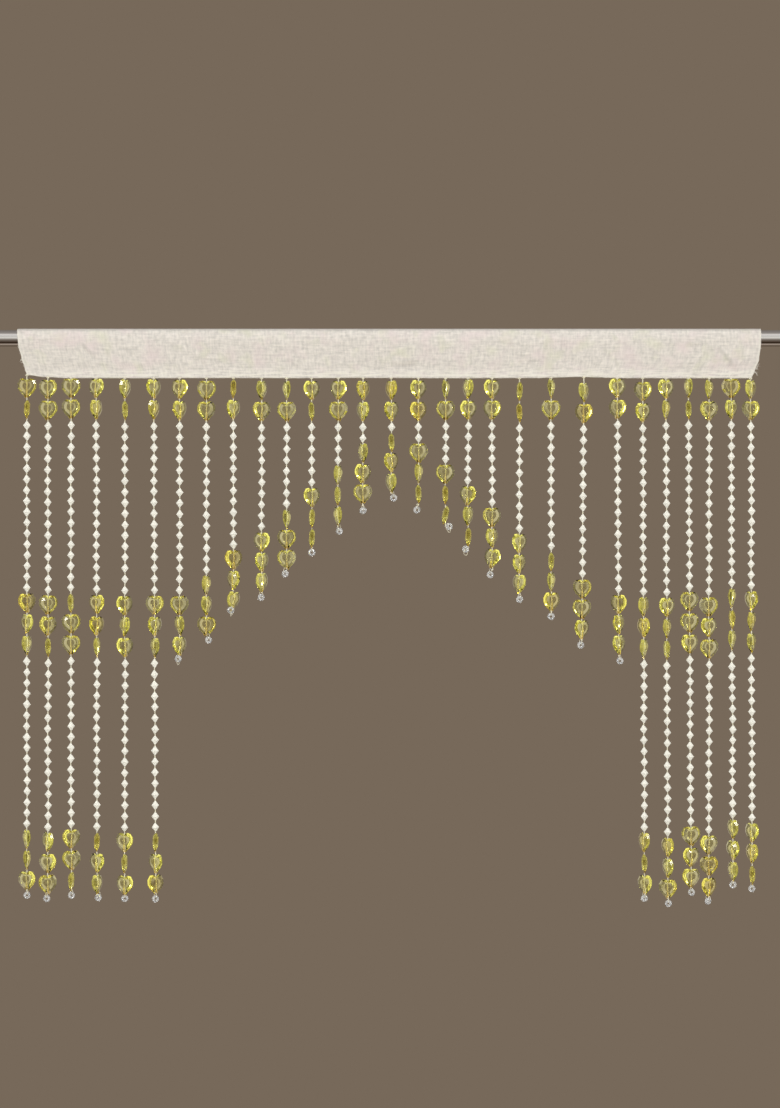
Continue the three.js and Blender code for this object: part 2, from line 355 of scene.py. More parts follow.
class CurtainSizes(bpy.types.PropertyGroup):
    """The sizes of the curtain's small parts."""

    rod_sides: IntProperty(
        name="Rod sides", description="Faces round the rod", default=96, min=12, max=256
    )
    cloth: length_property("Cloth", "Thickness of the heading's cloth", 0.5 * MM)
    thread: length_property("Thread", "Width of a thread", 1.2 * MM)
    stitch: length_property("Stitch", "Length of a stitch", 2.8 * MM)
    stitch_gap: length_property("Stitch gap", "Space between two stitches", 1.0 * MM)
    heart_width: length_property("Heart width", "Width of a heart across its lobes", 23 * MM)
    heart_height: length_property("Heart height", "Height of a heart", 21.6 * MM)
    heart_depth: length_property("Heart depth", "Depth of a heart, front to back", 7 * MM)
    ivory_width: length_property("Ivory width", "Width of an ivory bead", 9 * MM)
    ivory_height: length_property("Ivory height", "Height of an ivory bead", 10 * MM)
    end_bead_width: length_property("End bead width", "Width of an end bead's ring", 9 * MM)
    end_bead_depth: length_property("End bead depth", "Depth of an end bead's ring", 5 * MM)


class CurtainColours(bpy.types.PropertyGroup):
    """The colours of the curtain's parts."""

    rod: colour_property("Rod", "Polished metal", 236, 236, 236)
    cloth: colour_property("Cloth", "The heading", 226, 219, 209)
    band: colour_property("Hem band", "The hem band, a little lighter", 235, 229, 216)
    rosy: colour_property("Rosy", "The cloth's rosy places", 228, 211, 208)
    straw: colour_property("Straw", "The cloth's straw-coloured places", 218, 217, 190)
    thread: colour_property("Thread", "The strings' threads", 238, 231, 204)
    stitch: colour_property("Stitch", "The hem's sewing thread", 240, 236, 224)
    ivory: colour_property("Ivory", "The ivory beads", 250, 247, 234)
    heart: colour_property("Heart", "Clear yellow plastic", 252, 252, 238)
    heart_depth: colour_property("Heart depth", "What deep plastic lets through", 251, 250, 20)
    golden: colour_property("Golden", "Tint of a heart's tip", 246, 220, 136)
    clear: colour_property("Clear", "Clear plastic end beads", 248, 250, 252)


class CurtainStage(bpy.types.PropertyGroup):
    """The camera, the lamps and what stands round the curtain."""

    backdrop: colour_property("Backdrop", "What shows behind the curtain", 119, 105, 90)
    floor: colour_property("Floor", "The plain floor", 226, 223, 218)
    floor_depth: length_property("Floor depth", "From the rod down to the floor", 2.0)
    distance: length_property("Camera distance", "From the curtain to the camera", 4.0)
    view_height: length_property("View height", "Height of the view at the curtain", 1.3296)
    aim_right: length_property("Aim right", "How far right of the middle the camera is", 0.0012)
    aim_down: length_property("Aim down", "How far below the rod the camera is", 0.2588)
    soft_light: FloatProperty(
        name="Soft light", description="Even light from all round", default=0.60, min=0
    )
    lamp_light: FloatProperty(
        name="Lamp light", description="Brightness of all the lamps", default=1.0, min=0
    )


def between(rows, key, at, column):
    """A smooth value between the rows of a table, read by one column and looked up by another."""
    if at <= getattr(rows[0], key):
        return getattr(rows[0], column)
    for low, high in zip(rows, rows[1:]):
        if at <= getattr(high, key):
            share = (at - getattr(low, key)) / (getattr(high, key) - getattr(low, key))
            start, end = getattr(low, column), getattr(high, column)
            return start + (end - start) * share * share * (3 - 2 * share)
    return getattr(rows[-1], column)


def hung_share(z):
    """How much of the hem's wave a height takes: none at the rod, and all of it at the hem."""
    return min(max(z / HEM, 0), 1)


def sway_at(x, z):
    return between(HEM_WAVES, "x", x, "sway") * hung_share(z)


def hang(x, y, z):
    """Hangs a point of the straight heading: its ends slant, and its hem waves."""
    reach = between(ENDS, "z", z, "left" if x < 0 else "right")
    hung_x = x / HALF_LENGTH * reach
    drop = between(HEM_WAVES, "x", hung_x, "drop") * hung_share(z) ** 2
    return Vector((hung_x, y + sway_at(hung_x, z), z - drop))


def spun(degrees, axis):
    return Matrix.Rotation(math.radians(degrees), 4, axis)


def uneven(draw, most):
    return draw.uniform(-most, most)


class StringPlan:
    """Where the parts of one string hang."""

    def __init__(self, place):
        self.place, self.string = place, STRINGS[place]
        steps = abs(place - MIDDLE_STRING)
        is_long = steps > ARCH_STRINGS
        ivory_count = min(max(2 * steps, 1), MOST_IVORY)
        lower_pitch = HEART_PITCH if is_long else ARCH_HEART_PITCH
        self.hearts, self.ivory = [], []
        last = self.add_run(self.hearts, FIRST_HEART - self.string.drop, HEART_PITCH, len(self.string.top))
        for _ in range(2 if is_long else 1):
            last = self.add_run(self.ivory, last - HEART_TO_IVORY, self.string.pitch, ivory_count)
            last = self.add_run(self.hearts, last - IVORY_TO_HEART, lower_pitch, len(self.string.lower))
        self.end_bead = last - self.string.tail

    def add_run(self, beads, first, pitch, count):
        beads += [first - i * pitch for i in range(count)]
        return beads[-1]

    def name(self, part):
        return f"{part}_{self.place + 1:02d}"

    def heart_turns(self):
        """How far each heart is turned. The strings' second runs hang turned the other way."""
        turns = [*self.string.top, *self.string.lower]
        turns += [SECOND_RUN_TURN + SECOND_RUN_SHARE * turn for turn in reversed(self.string.lower)]
        return turns[: len(self.hearts)]

    def at(self, z):
        """The point of the thread at a height."""
        down = (z - THREAD_TOP) / (self.end_bead - THREAD_TOP)
        wander = noise.noise(Vector((self.place * THREAD_APART, 0, z * THREAD_BENDS)))
        wander *= min(down * TAUT_TOP, 1)
        x = self.string.x + self.string.drift * down + wander * THREAD_BEND
        return Vector((x, sway_at(self.string.x, z), z))

    def loop_side(self):
        """Whether the end bead hangs in front of its thread, or behind it."""
        shift, turn, _ = self.string.bead
        return 1 if shift * turn >= 0 or self.place in FRONT_BEADS else -1

    def bead_middle(self):
        shift, turn, _ = self.string.bead
        hanging = self.loop_side() * LOOP_RADIUS * math.cos(math.radians(turn))
        front = FRONT_BEADS.get(self.place, hanging)
        return self.at(self.end_bead) + Vector((shift * MM, -front, 0))

    def bead_frame(self):
        """Turns an end bead whose hole runs along Y, about its own middle."""
        _, turn, lean = self.string.bead
        return spun(turn, "Z") @ spun(lean, "X")


PLANS = [StringPlan(place) for place in range(len(STRINGS))]


class Shader:
    """The nodes of one material or world while they are put together."""

    def __init__(self, name, owners="materials"):
        self.owner = getattr(bpy.data, owners).new(name)
        self.owner.use_nodes = True
        self.nodes, self.links = self.owner.node_tree.nodes, self.owner.node_tree.links
        self.nodes.clear()

    def add(self, kind, inputs=None, output=0, **settings):
        """Adds a node, sets or links its inputs, and returns one of its outputs."""
        node = self.nodes.new("ShaderNode" + kind)
        for name, value in settings.items():
            setattr(node, name, value)
        for name, value in (inputs or {}).items():
            if isinstance(value, bpy.types.NodeSocket):
                self.links.new(value, node.inputs[name])
            else:
                node.inputs[name].default_value = value
        return node.outputs[output]

    def place(self, scale=(1, 1, 1), rotation=(0, 0, 0), uv=None):
        """The surface's own coordinates, stretched and turned."""
        if uv:
            start = self.add("UVMap", uv_map=uv)
        else:
            start = self.add("TexCoord", output="Object")
        return self.add("Mapping", {"Vector": start, "Scale": scale, "Rotation": rotation})

    def noise(self, vector, scale, detail=2.0):
        return self.add("TexNoise", {"Vector": vector, "Scale": scale, "Detail": detail})

    def bands(self, vector, width, direction, distortion):
        """Even bands of one width across a direction."""
        scale = 2 * math.pi / (20 * width)  # the wave node multiplies its scale by 20
        return self.add(
            "TexWave",
            {"Vector": vector, "Scale": scale, "Distortion": distortion},
            output="Fac",
            bands_direction=direction,
        )

    def fit(self, value, low, high, start=0.0, end=1.0):
        """Maps start to end onto low to high."""
        return self.add(
            "MapRange", {"Value": value, "From Min": start, "From Max": end, "To Min": low, "To Max": high}
        )

    def combine(self, first, second, operation="ADD"):
        return self.add("Math", {0: first, 1: second}, operation=operation)

    def mix(self, share, first, second):
        return self.add("Mix", {0: share, 6: first, 7: second}, output=2, data_type="RGBA")

    def bump(self, height, distance, strength):
        return self.add("Bump", {"Height": height, "Distance": distance, "Strength": strength})

    def output(self, kind, **results):
        """Links what is shown to the output of the material or world, which is then finished."""
        output = self.nodes.new("ShaderNodeOutput" + kind)
        for name, result in results.items():
            self.links.new(result, output.inputs[name])
        return self.owner

    def finish(self, inputs, **results):
        return self.output("Material", Surface=self.add("BsdfPrincipled", inputs), **results)


def shade(colour, share):
    return (*(min(value * share, 1.0) for value in colour[:3]), 1.0)


def rod_material(colours):
    """Polished metal, its shine a little uneven, with faint lines along it from drawing."""
    shader = Shader("rod_metal")
    smears = shader.noise(shader.place(scale=(3, 30, 30)), 6, 4)
    lines = shader.noise(shader.place(scale=(5, 900, 900)), 1)
    return shader.finish({
        "Base Color": shader.mix(smears, shade(colours.rod, 0.9), colours.rod),
        "Metallic": 1.0,
        "Roughness": shader.fit(smears, 0.05, 0.13),
        "Normal": shader.bump(lines, 0.01 * MM, 0.3),
    })


def linen_material(colours):
    """Cream plain weave with slubs both ways, paler in its hem band and along its two ends, with
    painted shade along its creases and along the top of its fold."""
    shader = Shader("heading_linen")
    cloth, turned = shader.place(uv="cloth"), shader.place(rotation=(0, 0, 1), uv="cloth")
    warp, weft = (shader.fit(shader.bands(cloth, 3.0 * MM, direction, 0.7), -1, 1) for direction in "XY")
    weave = shader.combine(shader.combine(warp, weft, "MULTIPLY"), 0.0, "ABSOLUTE")
    slubs = shader.noise(shader.place(scale=(55, 420, 1), uv="cloth"), 1, 3)
    cross_slubs = shader.noise(shader.place(scale=(380, 75, 1), uv="cloth"), 1, 3)
    thick = shader.combine(slubs, cross_slubs)
    mottled = shader.combine(thick, shader.noise(cloth, 210, 3))
    height = shader.add("SeparateXYZ", {"Vector": shader.place()}, output="Z")
    across = shader.add("SeparateXYZ", {"Vector": cloth}, output="X")
    out = shader.combine(across, 0.0, "ABSOLUTE")
    # The shade painted along the creases, by how sharp they are.
    creased = shader.add("Attribute", output="Fac", attribute_name="creased")
    streaks = shader.fit(slubs, 0.05, 1.0, 0.42, 0.58)
    band = shader.combine(shader.fit(height, 0, 0.9, -36 * MM, -43 * MM), streaks, "MULTIPLY")
    colour = shade(colours.cloth, 0.81)
    # Its colours, each over the ones before it: where it shows, and what it is.
    for share, over in (
        (shader.fit(mottled, 0, 1, 1.15, 1.85), shade(colours.cloth, 1.16)),
        (shader.fit(weave, 0.4, 0, 0, 0.3), shade(colours.cloth, 0.72)),
        (shader.fit(shader.noise(cloth, 30, 2), 0, 0.6, 0.5, 0.72), colours.rosy),
        (shader.fit(shader.noise(turned, 38, 2), 0, 0.5, 0.54, 0.74), colours.straw),
        (band, colours.band),
        (shader.fit(out, 0, 0.8, 442.5 * MM, 444.5 * MM), colours.band),
        # Painted shade along the creases.
        (shader.fit(creased, 0, 0.6, 0.12, 0.8), shade(colours.cloth, 0.6)),
        # Painted shade along the top of the fold, where the cloth turns over the rod.
        (shader.fit(height, 0, 0.75, 7.8 * MM, 11.2 * MM), shade(colours.cloth, 0.5)),
    ):
        colour = shader.mix(share, colour, over)
    relief = shader.combine(weave, shader.fit(thick, 0, 2.2, 0.7, 1.3))
    return shader.finish({
        "Base Color": colour,
        "Roughness": shader.fit(thick, 0.84, 0.97, 0.7, 1.3),
        "Sheen Weight": 0.12,
        "Specular IOR Level": 0.25,
        "Normal": shader.bump(relief, 0.16 * MM, 0.8),
    })


def cord_material(name, colour):
    """Fine twisted cord, darker between its strands, with a little fuzz."""
    shader = Shader(name)
    twist = shader.bands(shader.place(rotation=(0, math.radians(52), 0)), 1.1 * MM, "X", 0.3)
    fuzz = shader.noise(shader.place(), 1100, 2)
    strands = shader.mix(shader.fit(twist, 0.0, 1.0, 0.1, 0.7), shade(colour, 0.8), colour)
    return shader.finish({
        "Base Color": shader.mix(shader.fit(fuzz, 0, 0.35), strands, shade(colour, 1.1)),
        "Roughness": shader.fit(fuzz, 0.5, 0.72),
        "Sheen Weight": 0.1,
        "Normal": shader.bump(twist, 0.12 * MM, 0.6),
    })


def ivory_material(colours):
    """Opaque glossy plastic, a touch uneven from bead to bead."""
    shader = Shader("ivory_plastic")
    lots = shader.noise(shader.place(), 55, 1)
    scuffs = shader.noise(shader.place(), 600, 3)
    return shader.finish({
        "Base Color": shader.mix(
            shader.fit(lots, 0, 1, 0.3, 0.7), shade(colours.ivory, 0.92), colours.ivory
        ),
        "Roughness": shader.fit(scuffs, 0.12, 0.3, 0.3, 0.7),
        "IOR": 1.5,
        "Coat Weight": 0.25,
        "Coat Roughness": 0.06,
    })


def heart_material(colours):
    """Clear yellow plastic that deepens along the light's way through it."""
    shader = Shader("yellow_clear_plastic")
    handling = shader.noise(shader.place(), 320, 3)
    tint = shader.add("Attribute", output="Fac", attribute_name="tint")
    deep = shader.add("VolumeAbsorption", {"Color": colours.heart_depth, "Density": 66.0})
    return shader.finish({
        "Base Color": shader.mix(tint, colours.heart, colours.golden),
        "Roughness": shader.fit(handling, 0.02, 0.07, 0.35, 0.7),
        "IOR": 1.49,
        "Transmission Weight": 1.0,
    }, Volume=deep)


def clear_material(colours):
    """Clear plastic, a little milky and lightly scuffed."""
    shader = Shader("clear_plastic")
    scuffs = shader.noise(shader.place(), 500, 3)
    return shader.finish({
        "Base Color": shader.mix(scuffs, colours.clear, shade(colours.clear, 0.94)),
        "Roughness": shader.fit(scuffs, 0.03, 0.1, 0.35, 0.7),
        "IOR": 1.52,
        "Transmission Weight": 0.76,
    })


def finished(bm, name):
    """Turns a bmesh into a mesh."""
    mesh = bpy.data.meshes.new(name)
    bm.to_mesh(mesh)
    bm.free()
    return mesh


def add_object(name, data):
    made = bpy.data.objects.new(name, data)
    bpy.context.scene.collection.objects.link(made)
    return made


def add_piece(name, data, material):
    """Adds a finished mesh or curve to the scene as a piece of the curtain."""
    data.materials.append(material)
    piece = add_object(name, data)
    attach(piece, BODY)
    return piece


def smoothed(bm, name):
    """Turns a bmesh into a smooth mesh."""
    for face in bm.faces:
        face.smooth = True
    return finished(bm, name)


def joined(name, template, places, tints=None):
    """One mesh that repeats a small one at each place. Tints deepen the whole of each copy."""
    bm = bmesh.new()
    tint = bm.verts.layers.float.new("tint") if tints else None
    for i, place in enumerate(places):
        start = len(bm.verts)
        bm.from_mesh(template)
        bm.verts.ensure_lookup_table()
        bmesh.ops.transform(bm, matrix=place, verts=bm.verts[start:])
        if tints:
            for vert in bm.verts[start:]:
                vert[tint] = max(vert[tint], tints[i])
    return finished(bm, name)


def add_beads(plan, part, template, places, material, tints=None):
    """Adds the like small parts of one string as one piece."""
    name = plan.name(part)
    add_piece(name, joined(name, template, places, tints), material)


def turned_bead(name, section, half_width, half_height, sides):
    """A bead turned about Z from the section of its one side, bored through its middle."""
    bm = bmesh.new()
    points = [bm.verts.new((r * half_width, 0, h * half_height)) for r, h in section]
    edges = [bm.edges.new(pair) for pair in zip(points, points[1:] + points[:1])]
    bmesh.ops.spin(
        bm, geom=[*points, *edges], axis=(0, 0, 1), cent=(0, 0, 0), steps=sides, angle=2 * math.pi,
        use_merge=True
    )
    bmesh.ops.recalc_face_normals(bm, faces=bm.faces)
    return finished(bm, name)


def heart_mesh(sizes):
    """A clear heart, face on: cut steps round a flat front and back, and bored for the thread."""
    half_width, half_height = sizes.heart_width / 2, sizes.heart_height / 2
    right = [(x * half_width, z * half_height) for x, z in HEART_OUTLINE]
    left = [(-x, z) for x, z in right]
    bm = bmesh.new()
    rim = [bm.verts.new((x, 0, z)) for x, z in (*left, *reversed(right))]
    front = bm.faces.new(rim)
    front.normal_update()
    for shrink, share in HEART_STEPS:
        bmesh.ops.inset_region(
            bm, faces=[front], use_boundary=True, thickness=0.01 * MM, depth=share * sizes.heart_depth / 2
        )
        bmesh.ops.scale(
            bm, vec=(shrink, 1, shrink), space=Matrix.Translation((0, 0, -HEART_MIDDLE)), verts=front.verts
        )
    bmesh.ops.mirror(bm, geom=[*bm.verts, *bm.edges, *bm.faces], axis="Y", merge_dist=TOUCHING)
    bore_thread_hole(bm)
    bmesh.ops.recalc_face_normals(bm, faces=bm.faces)
    tint = bm.verts.layers.float.new("tint")
    for vert in bm.verts:
        vert[tint] = smooth_step(vert.co.z, GOLDEN_FROM, GOLDEN_TO)
    return finished(bm, "heart")


def bore_thread_hole(bm):
    """Opens a square hole down a heart, from its notch to its tip."""

    def crown():
        """The faces across the middle of the notch and of the tip, next to the rim."""
        narrow = 0.1 * MM + max(abs(v.co.x) for v in bm.verts if abs(v.co.x) < NOTCH_AND_TIP)
        return [
            face
            for face in bm.faces
            if all(abs(v.co.x) < narrow for v in face.verts)
            and any(abs(v.co.y) < TOUCHING for v in face.verts)
        ]

    for side in (-1, 1):
        ends = crown()
        geom = {*ends, *(e for f in ends for e in f.edges), *(v for f in ends for v in f.verts)}
        bmesh.ops.bisect_plane(bm, geom=[*geom], plane_co=(0, side * BORE, 0), plane_no=(0, 1, 0))
    ends = [face for face in crown() if all(abs(v.co.y) < 1.01 * BORE for v in face.verts)]
    bmesh.ops.delete(bm, geom=ends, context="FACES")
    bmesh.ops.bridge_loops(bm, edges=[edge for edge in bm.edges if edge.is_boundary])


def fold_section():
    """The middle line of the folded cloth, from the front hem over the rod to the back hem."""
    radius = ROD_RADIUS + FOLD_EASE
    meeting = math.atan2(HEM_BAND, BAND_GAP) + math.acos(radius / math.hypot(BAND_GAP, HEM_BAND))
    arc = [
        math.pi - meeting + (2 * meeting - math.pi) * part / FOLD_PARTS for part in range(FOLD_PARTS + 1)
    ]
    return [
        Vector((-BAND_GAP, HEM)),
        Vector((-BAND_GAP, HEM_BAND)),
        *(Vector((math.cos(angle), math.sin(angle))) * radius for angle in arc),
        Vector((BAND_GAP, HEM_BAND)),
        Vector((BAND_GAP, HEM)),
    ]


def spaced(line, parts):
    """Points evenly spaced along a line, and its length."""
    lengths = [(b - a).length for a, b in zip(line, line[1:])]
    total, points, i, passed = sum(lengths), [], 0, 0.0
    for part in range(parts + 1):
        along = total * part / parts
        while i < len(lengths) - 1 and along > passed + lengths[i]:
            passed += lengths[i]
            i += 1
        points.append(line[i].lerp(line[i + 1], (along - passed) / lengths[i]))
    return points, total


def smooth_step(value, start, end):
    share = min(max((value - start) / (end - start), 0), 1)
    return share * share * (3 - 2 * share)


def crease_at(x, z):
    """How far the creases lift the front of the heading at a place, and how sharp they are, which sets how
    much shade is painted along them.
    """
    height = sharpness = 0.0
    for crease in CREASES:
        away = Vector((x - crease.x, z - crease.z))
        if away.length > crease.length:
            continue
        lean = math.radians(crease.lean)
        along = Vector((math.cos(lean), math.sin(lean)))
        end = away.dot(along) / (crease.length / 2)
        side = (away.x * along.y - away.y * along.x) / crease.width
        share = math.exp(-(side**2) - end**4)
        height += crease.height * share
        sharpness += abs(crease.height) / crease.width * share
    return height, sharpness


def band_bulge(x, z):
    """How far each layer of the hem band bulges round the threads sewn between them."""
    nearest = min(abs(x - string.x) for string in STRINGS)
    share = smooth_step(z, BULGE_TOP, HEM_BAND)
    return BAND_BULGE * math.exp(-((nearest / BULGE_WIDTH) ** 2)) * share


def ripple(rows, x, z, side):
    return sum(
        height * noise.noise(Vector((x * along, side * 5 + across, z * down + start)))
        for along, down, across, start, height in rows
    )


def billow(x, z, side):
    """How far a layer stands off its straight line: soft waves, and small puckers at the hem."""
    free = smooth_step(z, *CLOTH_LEAVES_ROD) * smooth_step(z, HEM_BAND, CLOTH_DRAWN_IN)
    at_seam = math.exp(-(((z - HEM_BAND) / SEAM_REACH) ** 2))
    waves, puckers = ripple(WAVES, x, z, side), ripple(PUCKERS, x, z, side)
    return free * (BILLOW + waves) + at_seam * (SEAM_PUCKER + puckers)


def heading_mesh():
    """The heading's cloth as a grid laid over the fold, with its flat place kept as its UV map."""
    section, flat_length = spaced(fold_section(), HEADING_ROWS)
    bm = bmesh.new()
    bmesh.ops.create_grid(bm, x_segments=HEADING_COLUMNS, y_segments=HEADING_ROWS, size=0.5)
    flat = bm.loops.layers.uv.new("cloth")
    # How much shade is painted along the creases at each point.
    creased = bm.verts.layers.float.new("creased")
    for face in bm.faces:
        for loop in face.loops:
            place = loop.vert.co
            loop[flat].uv = (place.x * 2 * HALF_LENGTH, place.y * flat_length)
    for vert in bm.verts:
        x = vert.co.x * 2 * HALF_LENGTH
        y, z = section[round((vert.co.y + 0.5) * HEADING_ROWS)]
        side = -1 if vert.co.y < 0 else 1
        lift = billow(x, z, side) + band_bulge(x, z)
        if side < 0:
            crease, vert[creased] = crease_at(x, z)
            lift += crease
        vert.co = hang(x, y + side * lift, z)
    bmesh.ops.recalc_face_normals(bm, faces=bm.faces)
    return smoothed(bm, "heading_cloth"), flat_length


def rod_mesh(sizes):
    """The rod: a round bar with its ends' edges rounded over."""
    bm = bmesh.new()
    bmesh.ops.create_cone(
        bm, cap_ends=True, segments=sizes.rod_sides, radius1=ROD_RADIUS, radius2=ROD_RADIUS,
        depth=ROD_HIGH.x - ROD_LOW.x, matrix=spun(90, "Y")
    )
    for face in bm.faces:
        face.smooth = len(face.verts) == 4
    rims = [edge for edge in bm.edges if not all(face.smooth for face in edge.link_faces)]
    rounded = bmesh.ops.bevel(
        bm, geom=rims, offset=ROD_EDGE, offset_type="OFFSET", segments=3, profile=0.5,
        affect="EDGES", material=-1
    )
    for face in rounded["faces"]:
        face.smooth = True
    for end in (ROD_LOW.x + 2 * ROD_EDGE, ROD_HIGH.x - 2 * ROD_EDGE):
        bmesh.ops.bisect_plane(
            bm, geom=[*bm.verts, *bm.edges, *bm.faces], plane_co=(end, 0, 0), plane_no=(1, 0, 0)
        )
    return finished(bm, "rod_bar")


def knot_mesh(sizes):
    """A small knot: a few turns of thread pulled tight, as one lumpy bead."""
    bm = bmesh.new()
    bmesh.ops.create_uvsphere(bm, u_segments=8, v_segments=6, radius=sizes.thread * KNOT_RADIUS)
    for vert in bm.verts:
        angle = math.atan2(vert.co.y, vert.co.x)
        lump = 1 + KNOT_LUMP * math.sin(KNOT_LUMPS * angle + vert.co.z / sizes.thread * KNOT_TWIST)
        vert.co = Vector((vert.co.x * lump, vert.co.y * lump, vert.co.z * KNOT_FLAT))
    return smoothed(bm, "knot")


def stitch_mesh(sizes):
    """One stitch lying along X: a short length of thread that dips into the cloth at its ends."""
    bm = bmesh.new()
    bmesh.ops.create_uvsphere(
        bm, u_segments=6, v_segments=5, radius=0.5,
        matrix=Matrix.Diagonal((STITCH_WIDTH, STITCH_WIDTH, sizes.stitch, 1))
    )
    bmesh.ops.rotate(bm, cent=(0, 0, 0), matrix=spun(90, "Y"), verts=bm.verts)
    return smoothed(bm, "stitch")


def thread_route(plan, sizes):
    """The points of one thread, and its knot: its sewn end, straight down through its beads, and
    one turn through its end bead."""
    if plan.place in FRONT_BEADS:
        foot = plan.hearts[-1] + HEART_OUTLINE[-1][1] * sizes.heart_height / 2 - KNOT_UNDER_TIP
        angles, rise = LOOP_UNDER_ANGLES, -LOOP_RISE
    else:
        foot = plan.end_bead + sizes.end_bead_width / 2 + KNOT_OVER_BEAD
        angles, rise = LOOP_ANGLES, LOOP_RISE
    drop = (THREAD_TOP - foot) / THREAD_POINTS
    points = [plan.at(THREAD_TOP - i * drop) for i in range(THREAD_POINTS + 1)]
    knot = points[-1]
    turn = spun(plan.string.bead[1], "Z")
    for angle in map(math.radians, angles):
        across = plan.loop_side() * LOOP_RADIUS * math.cos(angle)
        up = LOOP_RADIUS * math.sin(angle)
        points.append(plan.bead_middle() + turn @ Vector((0, across, rise + up)))
    points.append(knot + Vector((0, plan.loop_side() * LOOP_END_ACROSS, LOOP_END_UP)))
    return points, knot


def new_curve(name, width, steps):
    """A round curve with closed ends, still without a spline."""
    curve = bpy.data.curves.new(name, "CURVE")
    curve.dimensions = "3D"
    curve.resolution_u = steps
    curve.bevel_depth = width / 2
    curve.use_fill_caps = True
    return curve


def thread_curve(name, points, width):
    """A thread as one smooth open curve, thinner where it loops through its end bead."""
    curve = new_curve(name, width, steps=12)
    curve.bevel_resolution = 1
    add_spline(curve, points)
    for place in curve.splines[0].bezier_points[THREAD_POINTS + 1 :]:
        place.radius = LOOP_SHARE
    return curve


def add_spline(curve, points):
    spline = curve.splines.new("BEZIER")
    spline.bezier_points.add(len(points) - 1)
    for place, point in zip(spline.bezier_points, points):
        place.co = point
        place.handle_left_type = place.handle_right_type = "AUTO"


def curtain_settings(context):
    """The curtain's sizes, its colours and its stage."""
    return [getattr(context.scene, name) for name in SETTINGS]


class StageOperator(bpy.types.Operator):
    """Sets up the camera, the lamps, the backdrop's colour and the floor"""

    bl_idname = "bead_curtain.stage"
    bl_label = "Stage"

    def execute(self, context):
        stage = context.scene.curtain_stage
        context.scene.view_settings.view_transform = "Standard"
        self.add_camera(context, stage)
        self.add_world(context, stage)
        self.add_floor(stage)
        for lamp in LAMPS:
            self.add_lamp(stage, lamp)
        return {"FINISHED"}

    def add_camera(self, context, stage):
        data = bpy.data.cameras.new("camera")
        data.lens = data.sensor_width * stage.distance / stage.view_height
        data.clip_end = 100
        camera = add_object("camera", data)
        camera.location = (stage.aim_right, -stage.distance, -stage.aim_down)
        camera.rotation_euler = (math.pi / 2, 0, 0)
        context.scene.camera = camera

    def add_world(self, context, stage):
        room = Shader("room", "worlds")
        lit = room.add("Background", {"Color": (1, 1, 1, 1), "Strength": stage.soft_light})
        for ray, colour in (
            ("Is Camera Ray", stage.backdrop),
            ("Is Glossy Ray", self.room_round_rod(room)),
            ("Is Transmission Ray", self.room_through(room)),
        ):
            share = room.add("LightPath", output=ray)
            shown = room.add("Background", {"Color": colour})
            lit = room.add("MixShader", {0: share, 1: lit, 2: shown})
        context.scene.world = room.output("World", Surface=lit)

    def way(self, room, axis):
        """How far along one axis a ray leaves the scene."""
        start = room.add("TexCoord", output="Generated")
        return room.add("SeparateXYZ", {"Vector": start}, output=axis)

    def room_round_rod(self, room):
        """The room's colours, by the angle turned about the rod."""
        front = room.combine(self.way(room, "Y"), -1.0, "MULTIPLY")
        angle = room.combine(self.way(room, "Z"), front, "ARCTAN2")
        rows = [(math.radians(turned), *glow) for turned, *glow in ROOM_ROUND_ROD]
        return self.ramp(room, angle, rows)

    def room_through(self, room):
        """The room's colours, by how far behind the curtain the ray goes."""
        return self.ramp(room, self.way(room, "Y"), ROOM_THROUGH)

    def ramp(self, room, value, rows):
        low, high = rows[0][0], rows[-1][0]
        colour = room.add("ValToRGB", {0: room.fit(value, 0, 1, low, high)}, output="Color")
        stops = colour.node.color_ramp.elements
        while len(stops) < len(rows):
            stops.new(1)
        for stop, (place, *glow) in zip(stops, rows):
            stop.position = (place - low) / (high - low)
            stop.color = paint(*glow)
        return colour

    def add_floor(self, stage):
        bm = bmesh.new()
        bmesh.ops.create_grid(
            bm, x_segments=1, y_segments=1, size=FLOOR_REACH,
            matrix=Matrix.Translation((0, 0, -stage.floor_depth))
        )
        floor = add_object("floor", finished(bm, "floor"))
        matt = Shader("floor").finish({"Base Color": stage.floor, "Roughness": 0.9})
        floor.data.materials.append(matt)
        floor.visible_glossy = floor.visible_transmission = False

    def add_lamp(self, stage, lamp):
        data = bpy.data.lights.new(lamp.name, "AREA")
        data.shape = "RECTANGLE"
        data.size, data.size_y = lamp.width, lamp.height
        data.energy = lamp.brightness * math.pi * lamp.width * lamp.height * stage.lamp_light
        light = add_object(lamp.name, data)
        light.location = lamp.place
        aim = Vector((0, 0, -stage.aim_down)) - Vector(lamp.place)
        light.rotation_euler = aim.to_track_quat("-Z", "Y").to_euler()
        light.visible_camera = False
        light.visible_glossy = light.visible_transmission = lamp.glint
        light.visible_diffuse = not lamp.glint


class ThreadsOperator(bpy.types.Operator):
    """Hangs the 29 threads from the hem"""

    bl_idname = "bead_curtain.threads"
    bl_label = "Threads"

    def execute(self, context):
        sizes, colours, _ = curtain_settings(context)
        material = cord_material("thread_cord", colours.thread)
        for plan in PLANS:
            points, _ = thread_route(plan, sizes)
            name = plan.name("thread")
            curve = thread_curve(name, points, sizes.thread)
            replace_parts(add_piece(name, curve, material), "string_comb")
        return {"FINISHED"}


class RodOperator(bpy.types.Operator):
    """Makes the polished metal rod"""

    bl_idname = "bead_curtain.rod"
    bl_label = "Rod"

    def execute(self, context):
        sizes, colours, _ = curtain_settings(context)
        rod = add_piece("curtain_rod", rod_mesh(sizes), rod_material(colours))
        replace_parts(rod, "rod")
        return {"FINISHED"}


